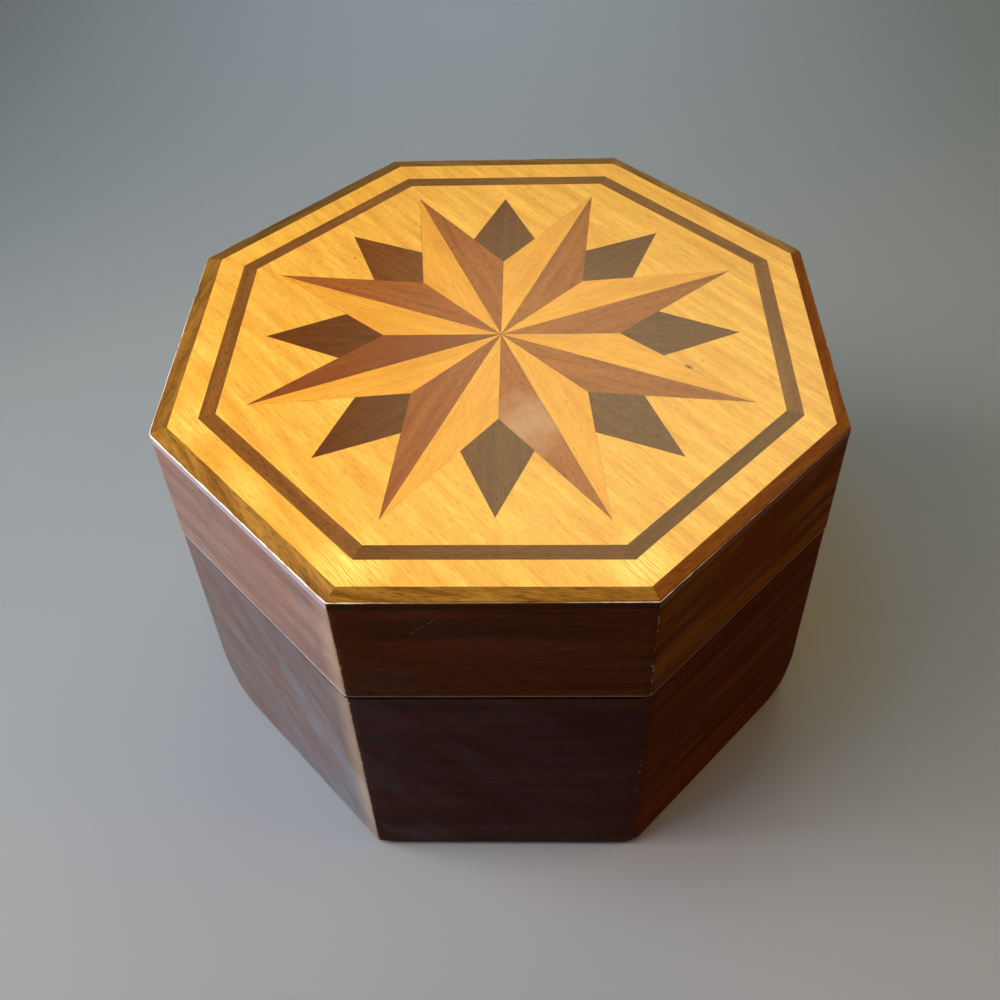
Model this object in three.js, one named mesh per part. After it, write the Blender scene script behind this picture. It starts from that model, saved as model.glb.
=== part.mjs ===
// Octagonal marquetry jewelry box with a lift-off lid, in millimetres.
// +Z is up, +X to the right and -Y towards the front, and a flat side faces each of these ways.
// The origin is the middle of the underside.
import * as THREE from 'three';

const SIDES = 8;

// Overall sizes
const ACROSS_FLATS = 150; // of the lid, from one flat side to the opposite one
const LID_HEIGHT = 33;
const BASE_HEIGHT = 67; // from the underside to the rim that the lid rests on

// Boards
const LID_WALL = 8;
const BASE_WALL = 8;
const LID_BOARD = 5;
const BOTTOM_BOARD = 5;

// How the lid sits on the base
const BASE_SET_BACK = 0.2; // each side of the base stands this far inside the lid's
const LIP_THICKNESS = 3;
const LIP_HEIGHT = 5;
const LIP_PLAY = 0.4; // between the lip and the lid's rebate
const LIP_CHAMFER = 0.6;

// Edges
const BOTTOM_ROUND = 3;
const BOTTOM_ROUND_STEPS = 6;
const SEAM_CHAMFER = 0.4; // on both edges of the seam
const ARRIS_CHAMFER = 0.3; // on the banding's worn outer edge

// Veneers and edge strips
const VENEER = 0.8;
const BANDING_WIDTH = 3.4;
const BANDING_DEPTH = 2.4;
const BANDING_FALL = 0.2; // from the banding's inner edge down to its outer one
const BORDER_WIDTH = 6.3;
const STRINGING_WIDTH = 3.5;

// Marquetry figure
const STAR_VALLEY_RADIUS = 27.6; // from the middle to where two points of the star meet
const STAR_MARGIN = 6.8; // from a star's tip to the stringing's corner
const DIAMOND_MARGIN = 6.8; // from a diamond's tip to the stringing
const DIAMOND_HALF_WIDTH = 7.8;

// The marquetry, out to the border's edge, was glued down a little out of true
const INLAY_SHIFT = 0.5; // to the right of the lid's middle
const INLAY_TURN = -Math.PI / 600; // clockwise, seen from above

// Distances from the middle, each measured square to a flat side
const LID_R = ACROSS_FLATS / 2;
const BASE_R = LID_R - BASE_SET_BACK;
const LID_INNER_R = LID_R - LID_WALL;
const BASE_INNER_R = BASE_R - BASE_WALL;
const LIP_R = BASE_INNER_R + LIP_THICKNESS;
const REBATE_R = LIP_R + LIP_PLAY;
const BORDER_R = LID_R - BANDING_WIDTH;
const STRINGING_R = BORDER_R - BORDER_WIDTH;
const GROUND_R = STRINGING_R - STRINGING_WIDTH;

const HALF_STEP = Math.PI / SIDES;
const centre = new THREE.Vector2(0, 0);
const STAR_TIP = GROUND_R / Math.cos(HALF_STEP) - STAR_MARGIN;
const DIAMOND_TIP = GROUND_R - DIAMOND_MARGIN;
const VENEER_Z = LID_HEIGHT - VENEER;

function wood(color, roughness) {
  return new THREE.MeshStandardMaterial({ color, roughness, metalness: 0 });
}

const walnutBoard = wood(0x3a1f10, 0.32);
const walnutBanding = wood(0x96642d, 0.35);
const walnutStringing = wood(0x805632, 0.35);
const walnutDiamond = wood(0x4c2f18, 0.38);
const mahogany = wood(0xa8622f, 0.36);
const satinwood = wood(0xf0b348, 0.36);
const plainBoard = wood(0x8a6238, 0.6);

// A point at a distance from the middle, at a number of half steps round from +X
function polar(radius, halfSteps) {
  const turn = (halfSteps % (2 * SIDES)) * HALF_STEP;
  return new THREE.Vector2(radius * Math.cos(turn), radius * Math.sin(turn));
}

// Side k faces 2k half steps round, and its corners lie one half step to either side
function corner(flatRadius, halfSteps) {
  return polar(flatRadius / Math.cos(HALF_STEP), halfSteps);
}

// The same on the lid, where the marquetry's outer edge follows the marquetry
function lidCorner(flatRadius, halfSteps) {
  const spot = corner(flatRadius, halfSteps);
  const onLid = Math.abs(flatRadius - BORDER_R) > 0.01;
  return onLid ? spot : spot.rotateAround(centre, INLAY_TURN).add(new THREE.Vector2(INLAY_SHIFT, 0));
}

function octagon(flatRadius) {
  return Array.from({ length: SIDES }, (_, k) => corner(flatRadius, 2 * k + 1));
}

function named(name, geometry, material) {
  const mesh = new THREE.Mesh(geometry, material);
  mesh.name = name;
  return mesh;
}

// A flat piece of even thickness, standing on z
function plate(outline, thickness, z, hole) {
  const shape = new THREE.Shape(outline);
  if (hole) shape.holes.push(new THREE.Path(hole));
  const geometry = new THREE.ExtrudeGeometry(shape, { depth: thickness, bevelEnabled: false });
  return geometry.translate(0, 0, z);
}

// A strip along side k with both ends mitred: the section gives distance from the middle and
// height, anticlockwise, and the ends of the plain extrusion are moved onto the two corners.
function mitredStrip(section, k, cornerAt = corner) {
  const geometry = new THREE.ExtrudeGeometry(new THREE.Shape(section), { depth: 1, bevelEnabled: false });
  const place = geometry.attributes.position;
  for (let i = 0; i < place.count; i += 1) {
    const end = place.getZ(i) > 0 ? 2 * k - 1 + 2 * SIDES : 2 * k + 1;
    const spot = cornerAt(place.getX(i), end);
    place.setXYZ(i, spot.x, spot.y, place.getY(i));
  }
  geometry.computeVertexNormals();
  return geometry;
}

function eachSide(make) {
  return Array.from({ length: SIDES }, (_, k) => make(k));
}

// Base: mitred boards with a rounded lower edge and a lip standing up inside the rim
function baseSection() {
  const at = (r, z) => new THREE.Vector2(r, z);
  const round = Array.from({ length: BOTTOM_ROUND_STEPS + 1 }, (_, i) => {
    const turn = (i / BOTTOM_ROUND_STEPS) * (Math.PI / 2);
    return at(
      BASE_R - BOTTOM_ROUND * (1 - Math.sin(turn)),
      BOTTOM_ROUND * (1 - Math.cos(turn)),
    );
  });
  return [
    at(BASE_INNER_R, 0),
    ...round,
    at(BASE_R, BASE_HEIGHT - SEAM_CHAMFER),
    at(BASE_R - SEAM_CHAMFER, BASE_HEIGHT),
    at(LIP_R, BASE_HEIGHT),
    at(LIP_R, BASE_HEIGHT + LIP_HEIGHT - LIP_CHAMFER),
    at(LIP_R - LIP_CHAMFER, BASE_HEIGHT + LIP_HEIGHT),
    at(BASE_INNER_R, BASE_HEIGHT + LIP_HEIGHT),
  ];
}

function makeBase() {
  const base = new THREE.Group();
  const section = baseSection();
  base.add(...eachSide((k) => named(`base_side_${k + 1}`, mitredStrip(section, k), walnutBoard)));
  base.add(named('base_bottom', plate(octagon(BASE_INNER_R), BOTTOM_BOARD, 0), plainBoard));
  return base;
}

// Lid sides: rebated below for the lip, and above on the outside for the banding
function lidSection() {
  const rebateTop = LIP_HEIGHT + LIP_PLAY;
  const bandingFoot = LID_HEIGHT - BANDING_DEPTH;
  return [
    [REBATE_R, 0],
    [LID_R - SEAM_CHAMFER, 0],
    [LID_R, SEAM_CHAMFER],
    [LID_R, bandingFoot],
    [BORDER_R, bandingFoot],
    [BORDER_R, VENEER_Z],
    [LID_INNER_R, VENEER_Z],
    [LID_INNER_R, rebateTop],
    [REBATE_R, rebateTop],
  ].map(([r, z]) => new THREE.Vector2(r, z));
}

// Banding: a strip let into the top edge, falling outwards to a worn arris
function bandingSection() {
  const outerTop = LID_HEIGHT - BANDING_FALL;
  const slope = BANDING_FALL / BANDING_WIDTH;
  return [
    [BORDER_R, LID_HEIGHT - BANDING_DEPTH],
    [LID_R, LID_HEIGHT - BANDING_DEPTH],
    [LID_R, outerTop - ARRIS_CHAMFER],
    [LID_R - ARRIS_CHAMFER, outerTop + slope * ARRIS_CHAMFER],
    [BORDER_R, LID_HEIGHT],
  ].map(([r, z]) => new THREE.Vector2(r, z));
}

function stringingSection() {
  return [
    [GROUND_R, VENEER_Z],
    [STRINGING_R, VENEER_Z],
    [STRINGING_R, LID_HEIGHT],
    [GROUND_R, LID_HEIGHT],
  ].map(([r, z]) => new THREE.Vector2(r, z));
}

// Star: point k reaches out one half step past direction 2k, and a valley lies at each direction 2k
const valley = (k) => polar(STAR_VALLEY_RADIUS, 2 * k);
const starTip = (k) => polar(STAR_TIP, 2 * k + 1 + 2 * SIDES);
const diamondTip = (k) => polar(DIAMOND_TIP, 2 * k);

// A diamond's side corner lies on the edge of the star's point beside it
function diamondSide(k, pointIndex) {
  const share = DIAMOND_HALF_WIDTH / (STAR_TIP * Math.sin(HALF_STEP));
  return valley(k).lerp(starTip(pointIndex), share);
}

function tile(outline) {
  return plate(outline, VENEER, VENEER_Z);
}

function makeMarquetry() {
  const marquetry = new THREE.Group();
  const stringing = stringingSection();
  const darkHalf = (k) => [centre, valley(k), diamondSide(k, k), starTip(k)];
  const lightHalf = (k) => [centre, starTip(k), diamondSide(k + 1, k), valley(k + 1)];
  const diamond = (k) => [valley(k), diamondSide(k, k - 1), diamondTip(k), diamondSide(k, k)];
  const figure = eachSide((k) => [diamondSide(k, k - 1), diamondTip(k), diamondSide(k, k), starTip(k)]).flat();

  marquetry.add(...eachSide((k) => named(`star_dark_${k + 1}`, tile(darkHalf(k)), mahogany)));
  marquetry.add(...eachSide((k) => named(`star_light_${k + 1}`, tile(lightHalf(k)), satinwood)));
  marquetry.add(...eachSide((k) => named(`diamond_${k + 1}`, tile(diamond(k)), walnutDiamond)));
  marquetry.add(named('lid_ground', plate(octagon(GROUND_R), VENEER, VENEER_Z, figure), satinwood));
  marquetry.add(...eachSide((k) => named(`lid_stringing_${k + 1}`, mitredStrip(stringing, k), walnutStringing)));
  marquetry.add(named('lid_border', plate(octagon(BORDER_R), VENEER, VENEER_Z, octagon(STRINGING_R)), satinwood));
  marquetry.position.x = INLAY_SHIFT;
  marquetry.rotation.z = INLAY_TURN;
  return marquetry;
}

function makeLid() {
  const lid = new THREE.Group();
  const sides = lidSection();
  const banding = bandingSection();
  const boards = (k) => named(`lid_side_${k + 1}`, mitredStrip(sides, k, lidCorner), walnutBoard);
  const strips = (k) => named(`lid_banding_${k + 1}`, mitredStrip(banding, k, lidCorner), walnutBanding);
  lid.add(...eachSide(boards), ...eachSide(strips));

  const board = plate(octagon(LID_INNER_R), LID_BOARD, VENEER_Z - LID_BOARD);
  lid.add(named('lid_board', board, plainBoard), makeMarquetry());
  lid.position.z = BASE_HEIGHT;
  return lid;
}

const box = new THREE.Group();
box.add(makeBase(), makeLid());

export default box;
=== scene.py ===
from math import cos, pi, radians, sin

import bmesh
import bpy
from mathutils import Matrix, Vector, noise


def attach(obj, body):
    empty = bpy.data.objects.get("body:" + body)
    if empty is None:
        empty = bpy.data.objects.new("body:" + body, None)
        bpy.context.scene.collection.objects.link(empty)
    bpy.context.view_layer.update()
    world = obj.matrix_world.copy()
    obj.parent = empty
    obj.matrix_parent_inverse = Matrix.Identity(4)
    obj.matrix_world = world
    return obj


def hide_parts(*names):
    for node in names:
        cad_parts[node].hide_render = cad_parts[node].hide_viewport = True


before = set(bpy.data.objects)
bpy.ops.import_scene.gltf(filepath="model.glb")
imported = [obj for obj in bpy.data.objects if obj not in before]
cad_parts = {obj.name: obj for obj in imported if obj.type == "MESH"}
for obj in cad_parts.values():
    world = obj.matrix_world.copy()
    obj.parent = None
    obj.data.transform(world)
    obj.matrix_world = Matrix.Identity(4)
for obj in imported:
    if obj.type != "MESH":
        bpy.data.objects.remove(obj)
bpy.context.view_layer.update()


# Camera: close above the front side, looking down on the lid, as the photograph was taken.
# The photograph is a crop from below the middle of a taller picture, so the lens is shifted.
camera_data = bpy.data.cameras.new("camera")
camera_data.sensor_width = 36
camera_data.lens = 41.156
camera_data.shift_y = -0.1343
camera_data.clip_start = 0.01
camera = bpy.data.objects.new("camera", camera_data)
camera.location = (0.0090367, -0.2003120, 0.2747532)
camera.rotation_euler = (radians(47.325), radians(1.752), radians(0.987))
bpy.context.scene.collection.objects.link(camera)
bpy.context.scene.camera = camera
bpy.context.scene.view_settings.view_transform = "Standard"


# Base sides: eight walnut boards, mitred and glued into a ring, with the lower edge rounded over.
# The arrises are softened by handling, most of all the front right one. The polish is kept on the
# sides that were seldom touched and rubbed off the front ones.
MM = 0.001
SIDES = 8
HALF_STEP = pi / SIDES
HALF_TAN = sin(HALF_STEP) / cos(HALF_STEP)
FRONT, RIGHT_FRONT = 6, 7
BASE_R = 74.8 * MM
SEAM = 67 * MM
BASE_ARRIS = 0.5 * MM
WORN_CORNER = 6
WORN_ARRIS = 2.3 * MM
BUMPED_CORNERS = (4, 7)
BUMP_REACH = 11 * MM
BUMP_HEIGHT = 16 * MM
BUMP_DEPTH = 1.5 * MM
ARRIS_WEAR = 0.25 * MM
ARRIS_REACH = 1.2 * MM
ROW = 1.7 * MM
UP = Vector((0, 0, 1))


def facing(side):
    """The way that a side faces and the way along it. Side 0 faces +X, and they run anticlockwise."""
    turn = 2 * HALF_STEP * side
    return Vector((cos(turn), sin(turn), 0)), Vector((-sin(turn), cos(turn), 0))


def clean_copy(node):
    """A CAD node's own shape with its triangles joined into flat faces."""
    shape = bmesh.new()
    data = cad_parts[node].data.copy()
    for name in [a.name for a in data.attributes if a.domain == "CORNER" and not a.name.startswith(".")]:
        data.attributes.remove(data.attributes[name])
    shape.from_mesh(data)
    bpy.data.meshes.remove(data)
    bmesh.ops.remove_doubles(shape, verts=shape.verts, dist=0.005 * MM)
    bmesh.ops.dissolve_limit(shape, angle_limit=radians(0.5), verts=shape.verts, edges=shape.edges)
    return shape


def glued_ring(prefix):
    """The eight mitred pieces of a ring as one closed shape, without the mitres inside it."""
    ring = bmesh.new()
    for side in range(SIDES):
        piece = clean_copy(f"{prefix}_{side + 1}")
        along = facing(side)[1]
        ends = [f for f in piece.faces if abs(f.normal.dot(along)) > 0.5]
        bmesh.ops.delete(piece, geom=ends, context="FACES")
        data = bpy.data.meshes.new("part")
        piece.to_mesh(data)
        ring.from_mesh(data)
        bpy.data.meshes.remove(data)
        piece.free()
    bmesh.ops.remove_doubles(ring, verts=ring.verts, dist=0.01 * MM)
    return ring


def mitre_edges(ring, corners, radius):
    """The outermost edges of a ring along its mitres, at the corners that are named by number."""
    found = []
    for edge in ring.edges:
        if len(edge.link_faces) != 2 or edge.calc_face_angle(0) < radians(4):
            continue
        for corner in corners:
            out, across = facing(corner + 0.5)
            on_mitre = all(abs(v.co.dot(across)) < 0.01 * MM for v in edge.verts)
            if on_mitre and (edge.verts[0].co + edge.verts[1].co).dot(out) / 2 > radius / cos(HALF_STEP):
                found.append(edge)
    return found


def soften(ring, edges, width, segments):
    """Rounds the given edges over."""
    bmesh.ops.bevel(ring, geom=edges, offset=width, offset_type="OFFSET", segments=segments,
                    profile=0.5, affect="EDGES", clamp_overlap=True, material=-1)


def cut_rows(ring, start, direction, step, count, geometry=None):
    """Cuts a shape across at even steps, so that its edges can be worn a little at a time."""
    for row in range(count):
        geom = geometry() if geometry else ring.verts[:] + ring.edges[:] + ring.faces[:]
        bmesh.ops.bisect_plane(ring, geom=geom, dist=0.002 * MM, plane_no=direction,
                               plane_co=start + direction * step * row)


def cut_side(ring, side, start, step, count):
    """Cuts one side of a ring across at even steps along it."""
    out, along = facing(side)

    def of_this_side():
        faces = [f for f in ring.faces
                 if abs(f.calc_center_median().dot(along)) < f.calc_center_median().dot(out) * HALF_TAN]
        # Each edge and corner once, in the order of the faces
        edges = dict.fromkeys(e for f in faces for e in f.edges)
        verts = dict.fromkeys(v for f in faces for v in f.verts)
        return [*verts, *edges, *faces]

    cut_rows(ring, along * start, along, step, count, of_this_side)


def keep_flat(ring, radius):
    """Cuts every side twice near each arris, so that the wear there leaves the rest of it flat."""
    half_length = radius * HALF_TAN
    for side in range(SIDES):
        cut_side(ring, side, -half_length + 1.6 * MM, 0.5 * MM, 2)
        cut_side(ring, side, half_length - 2.1 * MM, 0.5 * MM, 2)


def wear_arrises(ring, radius):
    """Rubs the upright arrises back unevenly, most where the noise is high."""
    for vert in ring.verts:
        for corner in range(SIDES):
            out, across = facing(corner + 0.5)
            if vert.co.dot(out) < (radius - 1.5 * MM) / cos(HALF_STEP):
                continue
            near = max(0.0, 1 - abs(vert.co.dot(across)) / ARRIS_REACH)
            # Uneven over some 4 mm, with dents of about 1.3 mm
            rub = 0.35 + 0.65 * max(0.0, noise.noise(vert.co / (4 * MM)))
            rub += 0.5 * max(0.0, noise.noise(vert.co / (1.3 * MM) + Vector((7, 3, 1))) - 0.25)
            vert.co -= out * near * near * rub * ARRIS_WEAR


def bump_foot(ring, corner):
    """Wears the foot of a corner back, where the box was set down on it."""
    out, across = facing(corner + 0.5)
    for vert in ring.verts:
        near = max(0.0, 1 - abs(vert.co.dot(across)) / BUMP_REACH)
        low = max(0.0, 1 - vert.co.z / BUMP_HEIGHT)
        if vert.co.dot(out) > (BASE_R - 5 * MM) / cos(HALF_STEP) * cos(near * 0.1):
            vert.co -= out * near ** 2 * low ** 1.5 * BUMP_DEPTH


def parted(ring, ends):
    """One side's piece of a ring, cut off at its two mitres and closed there."""
    piece = ring.copy()
    for place, outward in ends:
        bmesh.ops.bisect_plane(piece, geom=piece.verts[:] + piece.edges[:] + piece.faces[:],
                               dist=0.002 * MM, plane_co=place, plane_no=outward, clear_outer=True)
    open_edges = [e for e in piece.edges if e.is_boundary]
    bmesh.ops.holes_fill(piece, edges=open_edges, sides=0)
    bmesh.ops.recalc_face_normals(piece, faces=piece.faces)
    return piece


def radial_mitres(side):
    """A side's two mitre planes through the middle of the box, each with its outward way."""
    return [(Vector((0, 0, 0)), facing(side + end / 2)[1] * end) for end in (-1, 1)]


def lay_grain(piece, along, across, shift, place_along, place_across):
    """UV maps in metres: 'grain' runs with the wood, and 'place' tells where on the box a point is."""
    grain = piece.loops.layers.uv.new("grain")
    spot = piece.loops.layers.uv.new("place")
    for face in piece.faces:
        for loop in face.loops:
            co = loop.vert.co
            loop[grain].uv = (co.dot(along) + shift[0], co.dot(across) + shift[1])
            loop[spot].uv = (co.dot(place_along), co.dot(place_across))


def tone(piece, share):
    """How much darker than its neighbours a piece is, because it was cut from another part of the leaf."""
    layer = piece.verts.layers.float.new("tone")
    for vert in piece.verts:
        vert[layer] = share


def dress(piece, name, material, slot, *nodes):
    """Turns a finished shape into an object that stands for its CAD nodes."""
    for face in piece.faces:
        face.smooth = True
    for edge in piece.edges:
        edge.smooth = len(edge.link_faces) == 2 and edge.calc_face_angle(0) < radians(28)
    data = bpy.data.meshes.new(name)
    piece.to_mesh(data)
    piece.free()
    data.materials.append(material)
    made = bpy.data.objects.new(name, data)
    bpy.context.scene.collection.objects.link(made)
    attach(made, "root")
    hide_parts(*nodes)


def colour(hex_value):
    """An sRGB hex colour as the linear colour that a shader takes."""
    parts = [int(hex_value[i:i + 2], 16) / 255 for i in (1, 3, 5)]
    return (*[p / 12.92 if p <= 0.04045 else ((p + 0.055) / 1.055) ** 2.4 for p in parts], 1.0)


def add(tree, kind, inputs=None, **settings):
    """Adds a node with its settings. An input takes a value, or the socket that feeds it.
    Inputs by number: MapRange has its value at 0, the range it comes from at 1 and 2 and the one it goes
    to at 3 and 4. Mapping moves by 1, turns by 2 and scales by 3. A colour Mix goes from 6 to 7 by 0."""
    node = tree.nodes.new("ShaderNode" + kind)
    for key, value in settings.items():
        setattr(node, key, value)
    for key, value in (inputs or {}).items():
        if isinstance(value, bpy.types.NodeSocket):
            tree.links.new(value, node.inputs[key])
        else:
            node.inputs[key].default_value = value
    return node


def new_material(name):
    """An empty material with its shader joined to the output."""
    material = bpy.data.materials.new(name)
    material.use_nodes = True
    tree = material.node_tree
    tree.nodes.clear()
    shader = add(tree, "BsdfPrincipled")
    add(tree, "OutputMaterial", {"Surface": shader.outputs[0]})
    return material, tree, shader


# On a walnut side: where it ends, how far hands wore it from there, the long scratch on the lid's front,
# and the slope of the painted sheen's drifts
SIDE_END = 31 * MM
HANDLED_END = 6 * MM
SCRATCH_PLACE = (-13.3 * MM, 92.3 * MM, 0)
SCRATCH_SLOPE = (0, 0, radians(41))
DRIFT_SLOPE = (0, 0, radians(48))


def walnut_side(name, dark, light, red, gloss, dull, sheen, edge_line, painted_sheen=None, scratched=False):
    """Dark-stained walnut: long brown figure, fine dark pores along the grain, and polish over it.
    Along its arrises the polish is rubbed through to paler wood in a few small places."""
    material, tree, shader = new_material(name)
    grain = add(tree, "UVMap", uv_map="grain").outputs[0]
    place = add(tree, "UVMap", uv_map="place").outputs[0]
    along, height = add(tree, "SeparateXYZ", {0: place}).outputs[0:2]
    reach = add(tree, "Math", {0: along}, operation="ABSOLUTE").outputs[0]
    # Figure: bands about 4 mm wide and 65 mm long
    bent = add(tree, "TexNoise", {"Vector": add(tree, "Mapping", {0: grain, 3: (28, 60, 1)}).outputs[0],
                                  "Scale": 1, "Detail": 2}).outputs[1]
    bend = add(tree, "Mapping", {0: bent, 1: (-0.006, -0.0025, 0), 3: (0.012, 0.005, 0)}).outputs[0]
    wavy = add(tree, "VectorMath", {0: grain, 1: bend}, operation="ADD").outputs[0]
    bands = add(tree, "TexNoise", {"Vector": add(tree, "Mapping", {0: wavy, 3: (15, 230, 1)}).outputs[0],
                                   "Scale": 1, "Detail": 4, "Roughness": 0.6}).outputs[0]
    # Pores: 4 mm long and 0.25 mm wide
    pores = add(tree, "TexNoise", {"Vector": add(tree, "Mapping", {0: wavy, 3: (250, 3600, 1)}).outputs[0],
                                   "Scale": 1, "Detail": 2, "Roughness": 0.5}).outputs[0]
    pore = add(tree, "MapRange", {0: pores, 1: 0.52, 2: 0.62}, interpolation_type="SMOOTHSTEP").outputs[0]
    spread = add(tree, "MapRange", {0: bands, 1: 0.34, 2: 0.66}, interpolation_type="SMOOTHSTEP").outputs[0]
    body = add(tree, "Mix", {0: spread, 6: colour(dark), 7: colour(light)}, data_type="RGBA").outputs[2]
    blotch = add(tree, "TexNoise", {"Vector": add(tree, "Mapping", {0: grain, 3: (30, 45, 1)}).outputs[0],
                                    "Scale": 1, "Detail": 3}).outputs[0]
    blush = add(tree, "MapRange", {0: blotch, 1: 0.45, 2: 0.72}, interpolation_type="SMOOTHSTEP").outputs[0]
    body = add(tree, "Mix", {0: blush, 6: body, 7: colour(red)}, data_type="RGBA").outputs[2]
    shade = add(tree, "Math", {0: pore, 1: 0.5}, operation="MULTIPLY").outputs[0]
    body = add(tree, "Mix", {0: shade, 6: body, 7: colour("#1A0D07")}, data_type="RGBA").outputs[2]
    if painted_sheen:
        # Painted sheen: a bluish cloud in the polish that stands for the pale floor's reflection, in slanting
        # drifts about 12 mm wide and 40 mm long, strongest near the foot. Its share is given at the side's
        # two ends.
        slant = add(tree, "Mapping", {0: grain, 2: DRIFT_SLOPE}).outputs[0]
        drift = add(tree, "TexNoise", {"Vector": add(tree, "Mapping", {0: slant, 3: (24, 80, 1)}).outputs[0],
                                       "Scale": 1, "Detail": 5, "Roughness": 0.68}).outputs[0]
        low = add(tree, "MapRange", {0: height, 1: LID_TOP, 2: 0.0, 3: 0.4, 4: 1.0}).outputs[0]
        share = add(tree, "MapRange", {0: along, 1: -SIDE_END, 2: SIDE_END,
                                       3: painted_sheen[0], 4: painted_sheen[1]}).outputs[0]
        cloud = add(tree, "MapRange", {0: drift, 1: 0.36, 2: 0.64, 3: 0.15, 4: 1.0},
                    interpolation_type="SMOOTHSTEP").outputs[0]
        cloud = add(tree, "Math", {0: cloud, 1: low}, operation="MULTIPLY").outputs[0]
        cloud = add(tree, "Math", {0: cloud, 1: share}, operation="MULTIPLY").outputs[0]
        body = add(tree, "Mix", {0: cloud, 6: body, 7: colour("#707A8A")}, data_type="RGBA").outputs[2]
        if painted_sheen[1] > painted_sheen[0]:
            # Handling wore the end by the front left corner down to a warm tan
            handled = add(tree, "MapRange", {0: along, 1: SIDE_END - HANDLED_END, 2: SIDE_END,
                                             4: 0.9}).outputs[0]
            handled = add(tree, "Math", {0: handled, 1: drift}, operation="MULTIPLY").outputs[0]
            body = add(tree, "Mix", {0: handled, 6: body, 7: colour("#C8A67E")}, data_type="RGBA").outputs[2]
    # Rubbed arrises: bare wood within 0.8 mm of a mitre, in few patches
    patch = add(tree, "TexNoise", {"Vector": add(tree, "Mapping", {0: grain, 3: (300, 380, 1)}).outputs[0],
                                   "Scale": 1, "Detail": 3, "Roughness": 0.7}).outputs[0]
    inset = add(tree, "MapRange", {0: height, 1: SEAM - 1 * MM, 2: SEAM + 1 * MM,
                                   3: BASE_R * HALF_TAN, 4: LID_R * HALF_TAN}).outputs[0]
    inset = add(tree, "Math", {0: inset, 1: reach}, operation="SUBTRACT").outputs[0]
    width = add(tree, "MapRange", {0: patch, 1: 0.55, 2: 0.72, 3: 0.0, 4: 0.8 * MM}).outputs[0]
    bare = add(tree, "Math", {0: inset, 1: width}, operation="LESS_THAN").outputs[0]
    bare = add(tree, "Math", {0: bare, 1: 0.7}, operation="MULTIPLY").outputs[0]
    body = add(tree, "Mix", {0: bare, 6: body, 7: colour("#A98B6E")}, data_type="RGBA").outputs[2]
    # The edge at the seam: bare wood on the lid, with a painted highlight there on the left front side, and
    # painted shade on the base under the lid's overhang
    seam = add(tree, "Math", {0: height, 1: SEAM}, operation="SUBTRACT").outputs[0]
    seam = add(tree, "Math", {0: seam}, operation="ABSOLUTE").outputs[0]
    line = add(tree, "MapRange", {0: seam, 1: 0.95 * MM, 2: 0.75 * MM},
               interpolation_type="SMOOTHSTEP").outputs[0]
    broken = add(tree, "MapRange", {0: patch, 1: 0.3, 2: 0.5, 3: 0.4, 4: 1.0}).outputs[0]
    line = add(tree, "Math", {0: line, 1: broken}, operation="MULTIPLY").outputs[0]
    body = add(tree, "Mix", {0: line, 6: body, 7: colour(edge_line)}, data_type="RGBA").outputs[2]
    if scratched:
        # A long fine scratch that slopes up to the right, 8 mm long and 0.2 mm wide
        cut = add(tree, "Mapping", {0: place, 1: SCRATCH_PLACE, 2: SCRATCH_SLOPE},
                  vector_type="TEXTURE").outputs[0]
        cut = add(tree, "VectorMath", {0: cut}, operation="ABSOLUTE").outputs[0]
        from_middle, from_line = add(tree, "SeparateXYZ", {0: cut}).outputs[0:2]
        thin = add(tree, "MapRange", {0: from_line, 1: 0.16 * MM, 2: 0.08 * MM}).outputs[0]
        length = add(tree, "MapRange", {0: from_middle, 1: 4.2 * MM, 2: 3.0 * MM, 4: 0.35}).outputs[0]
        dotted = add(tree, "TexNoise", {"Vector": place, "Scale": 1600, "Detail": 1}).outputs[0]
        dotted = add(tree, "MapRange", {0: dotted, 1: 0.45, 2: 0.6}).outputs[0]
        scratch = add(tree, "Math", {0: thin, 1: length}, operation="MULTIPLY").outputs[0]
        scratch = add(tree, "Math", {0: scratch, 1: dotted}, operation="MULTIPLY").outputs[0]
        body = add(tree, "Mix", {0: scratch, 6: body, 7: colour("#B89A80")}, data_type="RGBA").outputs[2]
    rough = add(tree, "MapRange", {0: blotch, 1: 0.3, 2: 0.7, 3: gloss, 4: dull}).outputs[0]
    bump = add(tree, "Bump", {"Height": pore, "Distance": 0.00003, "Strength": 0.5}, invert=True)
    tree.links.new(body, shader.inputs["Base Color"])
    tree.links.new(rough, shader.inputs["Roughness"])
    tree.links.new(bump.outputs[0], shader.inputs["Normal"])
    shader.inputs["Specular IOR Level"].default_value = sheen
    return material


LID_R = 75 * MM
LID_TOP = 100 * MM
# Painted shade: the dark line along the base's top edge, in the shadow of the lid's overhang
SEAM_SHADE = "#120A06"
base_polished = walnut_side("base_walnut_polished", "#44241A", "#70442E", "#5A3222", 0.24, 0.42, 0.5, SEAM_SHADE)
# The left front side's copy is lighter and bluer: a painted sheen, the pale floor's reflection
base_painted_sheen = walnut_side("base_walnut_painted_sheen", "#5A3C30", "#765240", "#6A4438", 0.36, 0.46, 0.9, SEAM_SHADE,
                           painted_sheen=(0.35, 0.9))
base_rubbed = walnut_side("base_walnut_rubbed", "#38150A", "#4C210D", "#42180B", 0.5, 0.62, 0.03, SEAM_SHADE,
                          painted_sheen=(0.18, 0.02))
base_faded = walnut_side("base_walnut_faded", "#3A1802", "#5E2C04", "#4A2204", 0.5, 0.62, 0.01, SEAM_SHADE)
BASE_FINISH = (*[base_polished] * 5, base_painted_sheen, base_rubbed, base_faded)

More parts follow.
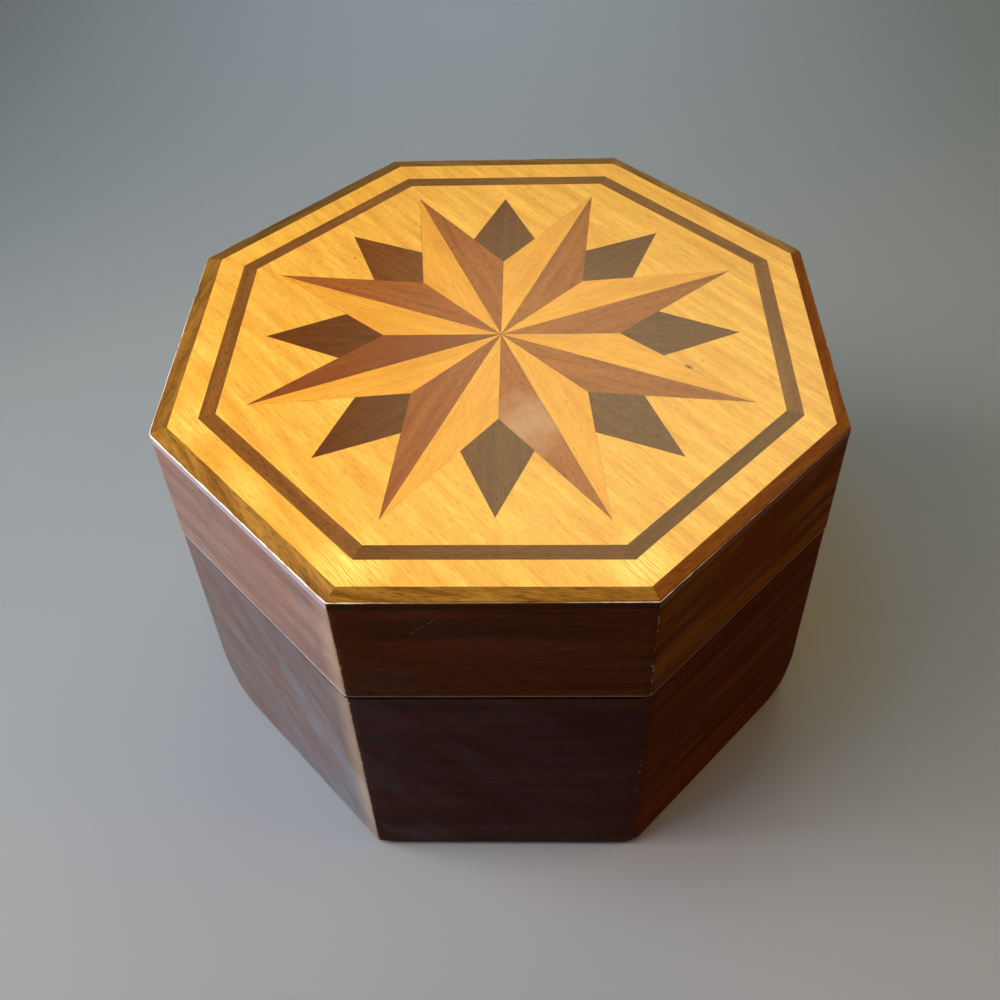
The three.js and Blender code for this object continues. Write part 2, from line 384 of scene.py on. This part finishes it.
ring = glued_ring("base_side")
crisp = [corner for corner in range(SIDES) if corner != WORN_CORNER]
soften(ring, mitre_edges(ring, crisp, BASE_R - 4 * MM), BASE_ARRIS, 4)
soften(ring, mitre_edges(ring, (WORN_CORNER,), BASE_R - 4 * MM), WORN_ARRIS, 8)
cut_rows(ring, UP * 3.8 * MM, UP, ROW, 37)
half_length = BASE_R * HALF_TAN
for corner in BUMPED_CORNERS:
    cut_side(ring, corner, half_length - 10 * MM, 2 * MM, 5)
    cut_side(ring, (corner + 1) % SIDES, -half_length + 2 * MM, 2 * MM, 5)
    bump_foot(ring, corner)
keep_flat(ring, BASE_R)
wear_arrises(ring, BASE_R)
for side in range(SIDES):
    out, along = facing(side)
    piece = parted(ring, radial_mitres(side))
    lay_grain(piece, along, UP - out, (0.31 * side, 0.17 * side), along, UP)
    dress(piece, f"base_stave_{side + 1}", BASE_FINISH[side], "walnut_sides", f"base_side_{side + 1}")
ring.free()


# Base bottom: a plain board let in flush between the sides, never polished.
# Only its underside can be seen, with straight grain from left to right.
def bare_board(name, pale, brown):
    """Bare softwood gone brown with age: straight grain lines about 3 mm apart, matt."""
    material, tree, shader = new_material(name)
    where = add(tree, "TexCoord").outputs["Object"]
    lines = add(tree, "TexNoise", {"Vector": add(tree, "Mapping", {0: where, 3: (9, 330, 9)}).outputs[0],
                                   "Scale": 1, "Detail": 4, "Roughness": 0.65}).outputs[0]
    fibre = add(tree, "TexNoise", {"Vector": add(tree, "Mapping", {0: where, 3: (120, 3000, 120)}).outputs[0],
                                   "Scale": 1, "Detail": 2}).outputs[0]
    streak = add(tree, "MapRange", {0: lines, 1: 0.38, 2: 0.66}, interpolation_type="SMOOTHSTEP").outputs[0]
    body = add(tree, "Mix", {0: streak, 6: colour(pale), 7: colour(brown)}, data_type="RGBA").outputs[2]
    fuzz = add(tree, "Math", {0: fibre, 1: 0.35}, operation="MULTIPLY").outputs[0]
    body = add(tree, "Mix", {0: fuzz, 6: body, 7: colour("#4E331C")}, data_type="RGBA").outputs[2]
    bump = add(tree, "Bump", {"Height": fibre, "Distance": 0.00005, "Strength": 0.6})
    tree.links.new(body, shader.inputs["Base Color"])
    tree.links.new(bump.outputs[0], shader.inputs["Normal"])
    shader.inputs["Roughness"].default_value = 0.72
    return material


plain_board = bare_board("bare_board", "#A47A4C", "#7E5832")
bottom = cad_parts["base_bottom"]
bottom.data.materials.clear()
bottom.data.materials.append(plain_board)


# Lid sides: eight walnut boards like the base's, from the same timber, a hair proud of it.
# Two corners were knocked round, and the edge that meets the base is rubbed to bare wood; on the left front
# side that edge is a painted highlight instead.
LID_ARRIS = 0.5 * MM
KNOCKED_CORNERS = (0, 4)
KNOCKED_ARRIS = 1.3 * MM
BARE = "#8A6A50"
# Painted highlight: a bluish-white line along the lid's bottom edge on the left front side
PAINTED_SEAM_HIGHLIGHT = "#D0C8C8"

lid_polished = walnut_side("lid_walnut_polished", "#4A281A", "#784832", "#64382A", 0.26, 0.42, 0.5, BARE)
# The left front side's copy is lighter and bluer: a painted sheen, the pale floor's reflection
lid_painted_sheen = walnut_side("lid_walnut_painted_sheen", "#7C5646", "#A0725C", "#925E4C", 0.26, 0.42, 0.9,
                          PAINTED_SEAM_HIGHLIGHT, painted_sheen=(0.3, 0.35))
lid_rubbed = walnut_side("lid_walnut_rubbed", "#481F06", "#622D08", "#582606", 0.5, 0.62, 0.03, BARE,
                         painted_sheen=(0.08, 0.0), scratched=True)
lid_faded = walnut_side("lid_walnut_faded", "#502A04", "#764504", "#5E3004", 0.5, 0.62, 0.01, BARE)
LID_FINISH = (*[lid_polished] * 5, lid_painted_sheen, lid_rubbed, lid_faded)

kept_corners = [corner for corner in range(SIDES) if corner not in KNOCKED_CORNERS]
ring = glued_ring("lid_side")
soften(ring, mitre_edges(ring, kept_corners, LID_R - 1 * MM), LID_ARRIS, 4)
soften(ring, mitre_edges(ring, KNOCKED_CORNERS, LID_R - 1 * MM), KNOCKED_ARRIS, 6)
cut_rows(ring, UP * (SEAM + 1.2 * MM), UP, ROW, 17)
keep_flat(ring, LID_R)
wear_arrises(ring, LID_R)
for side in range(SIDES):
    out, along = facing(side)
    piece = parted(ring, radial_mitres(side))
    lay_grain(piece, along, UP - out, (0.23 * side + 3, 0.19 * side + 1), along, UP)
    dress(piece, f"lid_stave_{side + 1}", LID_FINISH[side], "walnut_sides", f"lid_side_{side + 1}")
ring.free()

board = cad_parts["lid_board"]
board.data.materials.clear()
board.data.materials.append(plain_board)


# Banding: walnut strips let into the lid's top edge and mitred, with a hair's fall outwards.
# The marquetry inside them was glued down a little out of true, so they are not of one width.
# Their outer arris is rubbed pale and chipped, most of all on the left front side, and there its pale line is
# also a painted highlight.
PANEL_R = 71.6 * MM
PANEL_SHIFT = Vector((0.5 * MM, 0, 0))
PANEL_TURN = radians(-0.3)
BANDING_FOOT = LID_TOP - 2.4 * MM
CHIP_WEAR = 0.3 * MM

# How far the arris is painted pale at the two ends of each side: rubbed wood, and a painted highlight on the
# left and left front sides
ARRIS_WEAR_AND_HIGHLIGHT = ((0.3, 0.3), (0.3, 0.2), (0.2, 0.2), (0.2, 0.3), (0.5, 1.0), (1.0, 1.0), (0.6, 0.4), (0.5, 0.2))


def banding_mitres(side):
    """A side's two mitre planes, each through the panel's corner and the lid's."""
    planes = []
    for end in (-1, 1):
        turn = HALF_STEP * (2 * side + end)
        inner = Vector((cos(turn + PANEL_TURN), sin(turn + PANEL_TURN), 0)) * PANEL_R / cos(HALF_STEP)
        outer = Vector((cos(turn), sin(turn), 0)) * LID_R / cos(HALF_STEP)
        way = outer - inner - PANEL_SHIFT
        planes.append((outer, Vector((-way.y, way.x, 0)).normalized() * end))
    return planes


def arris_wear_and_highlight_at(spot):
    """How far the arris is painted pale at a place round the lid: by wear, and by a painted highlight on the
    left.
    The middle of the front side was spared, and so was most of the front right one."""
    turn = Vector(spot.xy).angle_signed(Vector((1, 0)), 0) / (2 * HALF_STEP) % SIDES
    side = round(turn) % SIDES
    share = (spot.dot(facing(side)[1]) / (LID_R * HALF_TAN) + 1) / 2
    start, end = ARRIS_WEAR_AND_HIGHLIGHT[side]
    rubbed = start + (end - start) * share
    if side == FRONT:
        rubbed *= max(min(1, abs(share - 0.48) * 4 - 0.75), 0.12)
    if side == RIGHT_FRONT:
        rubbed *= max(1 - share * 2.2, 0.3)
    return rubbed


def chip_arris(ring):
    """Wears the banding's outer arris back unevenly and takes chips of about 2 mm out of it."""
    for vert in ring.verts:
        if vert.co.z < BANDING_FOOT + 0.2 * MM:
            continue
        side = round(Vector(vert.co.xy).angle_signed(Vector((1, 0)), 0) / (2 * HALF_STEP)) % SIDES
        out = facing(side)[0]
        near = max(0.0, 1 - (LID_R - vert.co.dot(out)) / (1.1 * MM))
        rub = 0.1 + 0.5 * max(0.0, noise.noise(vert.co / (9 * MM)))
        chip = max(0.0, noise.noise(vert.co / (2.2 * MM) + Vector((3, 9, 5))) - 0.28) * 1.6
        vert.co -= (out + Vector((0, 0, 0.8))) * near * (rub + chip) * CHIP_WEAR
        vert.co.z = min(vert.co.z, LID_TOP)


def banding_walnut(name, dark, light, sheen, face):
    """Walnut banding: fine dark pores at a slant to the strip, and a pale outer arris, worn and with a
    painted highlight.
    """
    material, tree, shader = new_material(name)
    grain = add(tree, "UVMap", uv_map="grain").outputs[0]
    place = add(tree, "SeparateXYZ", {0: add(tree, "UVMap", uv_map="place").outputs[0]})
    turned = add(tree, "Mapping", {0: grain, 2: (0, 0, radians(9))}).outputs[0]
    mottle = add(tree, "TexNoise", {"Vector": add(tree, "Mapping", {0: turned, 3: (60, 420, 1)}).outputs[0],
                                    "Scale": 1, "Detail": 3, "Roughness": 0.6}).outputs[0]
    body = add(tree, "Mix", {0: add(tree, "MapRange", {0: mottle, 1: 0.35, 2: 0.65}).outputs[0],
                             6: colour(dark), 7: colour(light)}, data_type="RGBA").outputs[2]
    # Pores: 2.5 mm long and 0.25 mm wide
    pores = add(tree, "TexNoise", {"Vector": add(tree, "Mapping", {0: turned, 3: (360, 3800, 1)}).outputs[0],
                                   "Scale": 1, "Detail": 1.5}).outputs[0]
    pore = add(tree, "MapRange", {0: pores, 1: 0.50, 2: 0.66}, interpolation_type="SMOOTHSTEP").outputs[0]
    shade = add(tree, "Math", {0: pore, 1: 0.6}, operation="MULTIPLY").outputs[0]
    body = add(tree, "Mix", {0: shade, 6: body, 7: colour("#3E2208")}, data_type="RGBA").outputs[2]
    darker = add(tree, "Attribute", attribute_name="tone").outputs[2]
    body = add(tree, "Mix", {0: darker, 6: body, 7: colour("#3E2208")}, data_type="RGBA").outputs[2]
    # The outer face took the stain of the board under it; on the left front side its lavender colour is a
    # painted sheen
    from_arris = add(tree, "Math", {0: place.outputs[1], 1: LID_TOP - LID_R - 0.3 * MM},
                     operation="SUBTRACT").outputs[0]
    outside = add(tree, "MapRange", {0: from_arris, 1: -0.2 * MM, 2: -0.5 * MM, 4: 0.95}).outputs[0]
    body = add(tree, "Mix", {0: outside, 6: body, 7: colour(face)}, data_type="RGBA").outputs[2]
    # Where the arris is rubbed through, bare wood shows in a broken pale line, which on the left and left
    # front sides is also a painted highlight
    patch = add(tree, "TexNoise", {"Vector": add(tree, "Mapping", {0: grain, 3: (330, 330, 1)}).outputs[0],
                                   "Scale": 1, "Detail": 3, "Roughness": 0.7}).outputs[0]
    rubbed = add(tree, "Attribute", attribute_name="rubbed").outputs[2]
    width = add(tree, "MapRange", {0: patch, 1: 0.35, 2: 0.72, 3: 0.1 * MM, 4: 0.45 * MM}).outputs[0]
    width = add(tree, "Math", {0: width, 1: rubbed}, operation="MULTIPLY").outputs[0]
    arris = add(tree, "Math", {0: from_arris}, operation="ABSOLUTE").outputs[0]
    edge = add(tree, "Math", {0: arris, 1: width}, operation="LESS_THAN").outputs[0]
    body = add(tree, "Mix", {0: edge, 6: body, 7: colour("#E8D8C0")}, data_type="RGBA").outputs[2]
    bump = add(tree, "Bump", {"Height": pore, "Distance": 0.00003, "Strength": 0.5}, invert=True)
    tree.links.new(body, shader.inputs["Base Color"])
    tree.links.new(bump.outputs[0], shader.inputs["Normal"])
    shader.inputs["Roughness"].default_value = 0.34
    shader.inputs["Specular IOR Level"].default_value = sheen
    return material


banding_gold = banding_walnut("banding_walnut", "#784912", "#A67428", 0.5, "#5A3A22")
# Painted sheen: the left front strip's outer face is pale lavender, for the floor's reflection in it
banding_painted_sheen = banding_walnut("banding_walnut_painted_sheen", "#784912", "#A67428", 0.5, "#A69CB0")
banding_stained = banding_walnut("banding_walnut_stained", "#784912", "#A67428", 0.03, "#341808")
banding_red = banding_walnut("banding_walnut_red", "#7A3606", "#98520A", 0.05, "#643405")
BANDING = (banding_red, *[banding_gold] * 4, banding_painted_sheen, banding_stained, banding_red)
BANDING_TONE = (0.4, 0.3, 0.45, 0.65, 0.25, 0.05, 0.25, 0.5)
ring = glued_ring("lid_banding")
soften(ring, mitre_edges(ring, kept_corners, LID_R - 0.2 * MM), LID_ARRIS, 4)
soften(ring, mitre_edges(ring, KNOCKED_CORNERS, LID_R - 0.2 * MM), KNOCKED_ARRIS, 6)
for side in range(SIDES):
    cut_side(ring, side, -28.5 * MM, 1.5 * MM, 39)
chip_arris(ring)
# How pale the arris is at each point of the ring: wear, and a painted highlight on the left
rubbed = ring.verts.layers.float.new("rubbed")
for vert in ring.verts:
    vert[rubbed] = arris_wear_and_highlight_at(vert.co)
for side in range(SIDES):
    out, along = facing(side)
    piece = parted(ring, banding_mitres(side))
    lay_grain(piece, along, UP - out, (0.13 * side, 0.11 * side), along, UP - out)
    tone(piece, BANDING_TONE[side])
    dress(piece, f"banding_{side + 1}", BANDING[side], "walnut_banding", f"lid_banding_{side + 1}")
ring.free()


# Ground and border: one sheet of satinwood veneer, cut for the star and for the stringing.
# Its grain runs slantwise from the back left to the front right across both.
SHEET_GRAIN = radians(-50)
SEAM_RIM = 0.35 * MM


def veneer(node):
    """A piece of veneer with a narrow rim inside its edge, where the glue line shows."""
    piece = clean_copy(node)
    top = [f for f in piece.faces if f.normal.z > 0.9]
    bmesh.ops.inset_region(piece, faces=top, thickness=SEAM_RIM, use_even_offset=True, use_boundary=True)
    seam = piece.verts.layers.float.new("seam")
    inner = {v for f in top for v in f.verts}
    for vert in piece.verts:
        vert[seam] = 0.0 if vert in inner else 1.0
    return piece


# Small dark knots in the sheet: places on the lid in millimetres, with their reach
KNOTS = ((42.3, -12.3, 1.5), (-21, 43, 0.5), (17, -16, 0.5), (-37, 30, 0.4))

# Painted highlights: golden glints that the satinwood's grain throws back near the front and left edges;
# places on the lid in millimetres, reach and strength
PAINTED_GLINTS = ((-27, -66, 11, 0.8), (28, -66, 10, 0.75), (-66, -28, 10, 0.5), (-70, -4, 9, 0.3),
                (-52, -48, 10, 0.35), (-33, -22, 10, 0.3), (6, -55, 9, 0.12), (-18, -56, 9, 0.12))


def satinwood(name, deep, pale, glints=(), knots=()):
    """Satinwood under yellowed polish: soft gold mottling, and short fine pores that follow the grain."""
    material, tree, shader = new_material(name)
    grain = add(tree, "UVMap", uv_map="grain").outputs[0]
    place = add(tree, "UVMap", uv_map="place").outputs[0]
    mottle = add(tree, "TexNoise", {"Vector": add(tree, "Mapping", {0: grain, 3: (38, 330, 1)}).outputs[0],
                                    "Scale": 1, "Detail": 4, "Roughness": 0.55}).outputs[0]
    body = add(tree, "Mix", {0: add(tree, "MapRange", {0: mottle, 1: 0.32, 2: 0.68}).outputs[0],
                             6: colour(deep), 7: colour(pale)}, data_type="RGBA").outputs[2]
    # Fibres: hair lines 9 mm long
    fibres = add(tree, "TexNoise", {"Vector": add(tree, "Mapping", {0: grain, 3: (110, 3000, 1)}).outputs[0],
                                    "Scale": 1, "Detail": 2}).outputs[0]
    fibre = add(tree, "MapRange", {0: fibres, 1: 0.48, 2: 0.62, 4: 0.3}).outputs[0]
    body = add(tree, "Mix", {0: fibre, 6: body, 7: colour("#B87424")}, data_type="RGBA").outputs[2]
    # Painted highlights: golden glints along the fibres around each listed place
    for x, y, reach, share in glints:
        away = add(tree, "VectorMath", {0: place, 1: (x * MM, y * MM, 0)}, operation="DISTANCE").outputs[1]
        rub = add(tree, "MapRange", {0: away, 1: reach * MM, 2: 0.1 * reach * MM, 4: share},
                  interpolation_type="SMOOTHSTEP").outputs[0]
        streak = add(tree, "MapRange", {0: fibres, 1: 0.40, 2: 0.58}).outputs[0]
        rub = add(tree, "Math", {0: rub, 1: streak}, operation="MULTIPLY").outputs[0]
        body = add(tree, "Mix", {0: rub, 6: body, 7: colour("#FFE070")}, data_type="RGBA").outputs[2]
    # Pores: 2.4 mm long and 0.25 mm wide, the narrowest that shows
    pores = add(tree, "TexNoise", {"Vector": add(tree, "Mapping", {0: grain, 3: (420, 4200, 1)}).outputs[0],
                                   "Scale": 1, "Detail": 1.5}).outputs[0]
    pore = add(tree, "MapRange", {0: pores, 1: 0.55, 2: 0.64}, interpolation_type="SMOOTHSTEP").outputs[0]
    shade = add(tree, "Math", {0: pore, 1: 0.3}, operation="MULTIPLY").outputs[0]
    body = add(tree, "Mix", {0: shade, 6: body, 7: colour("#9A5E1C")}, data_type="RGBA").outputs[2]
    for x, y, reach in knots:
        away = add(tree, "VectorMath", {0: place, 1: (x * MM, y * MM, 0)}, operation="DISTANCE").outputs[1]
        knot = add(tree, "MapRange", {0: away, 1: reach * MM, 2: 0.4 * reach * MM, 4: 0.95}).outputs[0]
        body = add(tree, "Mix", {0: knot, 6: body, 7: colour("#3E2208")}, data_type="RGBA").outputs[2]
    glue = add(tree, "MapRange", {0: add(tree, "Attribute", attribute_name="seam").outputs[2],
                                  1: 0.5, 2: 1.0, 4: 0.6}, interpolation_type="SMOOTHSTEP").outputs[0]
    gap = add(tree, "TexNoise", {"Vector": place, "Scale": 90, "Detail": 2}).outputs[0]
    gap = add(tree, "MapRange", {0: gap, 1: 0.42, 2: 0.62, 3: 0.25}).outputs[0]
    glue = add(tree, "Math", {0: glue, 1: gap}, operation="MULTIPLY").outputs[0]
    body = add(tree, "Mix", {0: glue, 6: body, 7: colour("#6E4218")}, data_type="RGBA").outputs[2]
    bump = add(tree, "Bump", {"Height": pore, "Distance": 0.00002, "Strength": 0.4}, invert=True)
    tree.links.new(body, shader.inputs["Base Color"])
    tree.links.new(bump.outputs[0], shader.inputs["Normal"])
    shader.inputs["Roughness"].default_value = 0.26
    return material


def on_lid(piece, along, across, shift):
    """Lays a veneer's grain, with its place on the lid from the middle."""
    lay_grain(piece, along, across, shift, Vector((1, 0, 0)), Vector((0, 1, 0)))


sheet_along = Vector((cos(SHEET_GRAIN), sin(SHEET_GRAIN), 0))
sheet_across = Vector((-sin(SHEET_GRAIN), cos(SHEET_GRAIN), 0))
sheet_finish = satinwood("satinwood_sheet", "#D49230", "#EEB044", PAINTED_GLINTS, KNOTS)
for node in ("lid_ground", "lid_border"):
    piece = veneer(node)
    on_lid(piece, sheet_along, sheet_across, (0.5, 0.5))
    dress(piece, node.replace("lid", "veneer"), sheet_finish, "satinwood_veneer", node)


# Stringing: narrow walnut strips laid between the ground and the border and mitred at the corners.
# Their grain runs along them, and the front and front right ones were cut from darker wood.
def dark_veneer(name, dark, light, pore_colour, pore_share, sheen, scuff_glare=None):
    """A dark veneer under polish: streaks along the grain and fine pores."""
    material, tree, shader = new_material(name)
    grain = add(tree, "UVMap", uv_map="grain").outputs[0]
    streaks = add(tree, "TexNoise", {"Vector": add(tree, "Mapping", {0: grain, 3: (40, 500, 1)}).outputs[0],
                                     "Scale": 1, "Detail": 4, "Roughness": 0.6}).outputs[0]
    body = add(tree, "Mix", {0: add(tree, "MapRange", {0: streaks, 1: 0.34, 2: 0.66}).outputs[0],
                             6: colour(dark), 7: colour(light)}, data_type="RGBA").outputs[2]
    pores = add(tree, "TexNoise", {"Vector": add(tree, "Mapping", {0: grain, 3: (520, 5000, 1)}).outputs[0],
                                   "Scale": 1, "Detail": 1.5}).outputs[0]
    pore = add(tree, "MapRange", {0: pores, 1: 0.52, 2: 0.64}, interpolation_type="SMOOTHSTEP").outputs[0]
    shade = add(tree, "Math", {0: pore, 1: pore_share}, operation="MULTIPLY").outputs[0]
    body = add(tree, "Mix", {0: shade, 6: body, 7: colour(pore_colour)}, data_type="RGBA").outputs[2]
    darker = add(tree, "Attribute", attribute_name="tone").outputs[2]
    body = add(tree, "Mix", {0: darker, 6: body, 7: colour(pore_colour)}, data_type="RGBA").outputs[2]
    if scuff_glare:
        # A cloudy pale patch at one place on the lid, in millimetres, with its reach and its colour: scuffs,
        # painted pale for the reflection off their scratches
        x, y, reach, hue = scuff_glare
        place = add(tree, "UVMap", uv_map="place").outputs[0]
        away = add(tree, "VectorMath", {0: place, 1: (x * MM, y * MM, 0)}, operation="DISTANCE").outputs[1]
        cloud = add(tree, "TexNoise", {"Vector": place, "Scale": 160, "Detail": 3}).outputs[0]
        away = add(tree, "Math", {0: cloud, 1: 14 * MM, 2: away}, operation="MULTIPLY_ADD").outputs[0]
        haze = add(tree, "MapRange", {0: away, 1: (reach + 12) * MM, 2: (reach - 1) * MM, 4: 0.5},
                   interpolation_type="SMOOTHSTEP").outputs[0]
        body = add(tree, "Mix", {0: haze, 6: body, 7: colour(hue)}, data_type="RGBA").outputs[2]
    glue = add(tree, "MapRange", {0: add(tree, "Attribute", attribute_name="seam").outputs[2],
                                  1: 0.5, 2: 1.0, 4: 0.4}, interpolation_type="SMOOTHSTEP").outputs[0]
    body = add(tree, "Mix", {0: glue, 6: body, 7: colour("#4A2C12")}, data_type="RGBA").outputs[2]
    bump = add(tree, "Bump", {"Height": pore, "Distance": 0.00002, "Strength": 0.4}, invert=True)
    tree.links.new(body, shader.inputs["Base Color"])
    tree.links.new(bump.outputs[0], shader.inputs["Normal"])
    shader.inputs["Roughness"].default_value = 0.26
    shader.inputs["Specular IOR Level"].default_value = sheen
    return material


STRINGING_TONE = (0.1, 0.0, 0.15, 0.1, 0.0, 0.0, 0.4, 0.5)
stringing_finish = dark_veneer("stringing_walnut", "#6E4018", "#845220", "#42240C", 0.5, 0.3)
for side in range(SIDES):
    out, along = facing(side)
    piece = veneer(f"lid_stringing_{side + 1}")
    on_lid(piece, along, out, (0.21 * side, 0.07 * side))
    tone(piece, STRINGING_TONE[side])
    dress(piece, f"stringing_{side + 1}", stringing_finish, "walnut_stringing", f"lid_stringing_{side + 1}")


# Star: eight points, each of a red-brown mahogany half and a satinwood half that meet on its axis.
# Each half was cut with its grain along the point. A scuffed patch on the front dark half is painted pale:
# real scuffs, with a painted reflection off their scratches.
POINT_TONE = (0.0, 0.0, 0.0, 0.0, 0.55, 0.2, 0.0, 0.0)
mahogany_finish = dark_veneer("mahogany_point", "#88461A", "#A05A20", "#62290E", 0.5, 0.45,
                              scuff_glare=(6.5, -29, 8, "#C49A70"))
satin_point_finish = satinwood("satinwood_point", "#D08822", "#E49E34")
for point in range(SIDES):
    out, along = facing(point + 0.5)
    for half, finish, slot in (("dark", mahogany_finish, "mahogany_veneer"),
                               ("light", satin_point_finish, "satinwood_veneer")):
        piece = veneer(f"star_{half}_{point + 1}")
        on_lid(piece, out, along, (0.17 * point, 0.29 * point + 0.4))
        tone(piece, POINT_TONE[point])
        dress(piece, f"point_{half}_{point + 1}", finish, slot, f"star_{half}_{point + 1}")


# Diamonds: eight pieces of dark walnut veneer between the points, with the grain along them.
# The back left one was cut from paler wood than the others.
DIAMOND_TONE = (0.28, 0.28, 0.28, 0.0, 0.3, 0.38, 0.3, 0.28)
diamond_finish = dark_veneer("walnut_diamond", "#65300B", "#763E0F", "#281103", 0.4, 0.5)
for side in range(SIDES):
    out, along = facing(side)
    piece = veneer(f"diamond_{side + 1}")
    on_lid(piece, out, along, (0.37 * side, 0.13 * side + 0.2))
    tone(piece, DIAMOND_TONE[side])
    dress(piece, f"lozenge_{side + 1}", diamond_finish, "walnut_diamonds", f"diamond_{side + 1}")


# Floor: a plain grey sheet of matt paper that the box stands on, lying flat and reaching far past
# the picture.
floor_shape = bmesh.new()
bmesh.ops.create_grid(floor_shape, x_segments=1, y_segments=1, size=3)
floor_data = bpy.data.meshes.new("floor")
floor_shape.to_mesh(floor_data)
floor_shape.free()
floor_finish, tree, shader = new_material("floor_paper")
shader.inputs["Base Color"].default_value = colour("#898989")
shader.inputs["Roughness"].default_value = 0.85
floor_data.materials.append(floor_finish)
floor = bpy.data.objects.new("floor", floor_data)
bpy.context.scene.collection.objects.link(floor)


# Light: soft panels, half of them on the left, with a wide one behind on the right that lays a haze
# on the polished lid, one for the floor behind the box, and a weak warm one for the shadow side.
def panel(name, place, target, width, height, hue, power, spread=180, mirrored=False):
    """A rectangular soft light at one place, facing another. The spread is how wide it throws. Only a
    mirrored one shows in the polish, so that no other side of the lid is burnt out by a lamp."""
    light = bpy.data.lights.new(name, "AREA")
    light.shape = "RECTANGLE"
    light.size = width
    light.size_y = height
    light.color = colour(hue)[:3]
    light.energy = power
    light.spread = radians(spread)
    lamp = bpy.data.objects.new(name, light)
    lamp.location = place
    lamp.visible_glossy = mirrored
    lamp.rotation_euler = (Vector(target) - Vector(place)).to_track_quat("-Z", "Y").to_euler()
    bpy.context.scene.collection.objects.link(lamp)


panel("window", (-0.8, 0, 0.35), (-0.1, -0.05, 0.05), 0.4, 0.3, "#F9FFFE", 0.86, 60)
panel("near_left", (-0.28, -0.12, 0.4), (-0.06, -0.06, 0.06), 0.25, 0.25, "#FFE6D8", 0.42, 80)
panel("sky_left", (-0.3, -0.15, 0.9), (-0.1, -0.1, 0), 0.5, 0.5, "#6FC8FF", 0.66, 60)
panel("sky_back", (0, 0.5, 0.9), (-0.05, 0.45, 0), 0.4, 0.4, "#DAE6FF", 0.6, 40)
panel("haze", (0.215, 0.774, 0.992), (0, 0, 0.1), 0.76, 0.5, "#F6FFC8", 4.0, mirrored=True)
panel("warm_right", (0.6, -0.1, 0.6), (0.12, -0.1, 0), 0.4, 0.4, "#FFC986", 0.33, 50)
world = bpy.data.worlds.new("studio")
world.use_nodes = True
world.node_tree.nodes["Background"].inputs[0].default_value = colour("#C8C8C8")
world.node_tree.nodes["Background"].inputs[1].default_value = 0.06
bpy.context.scene.world = world
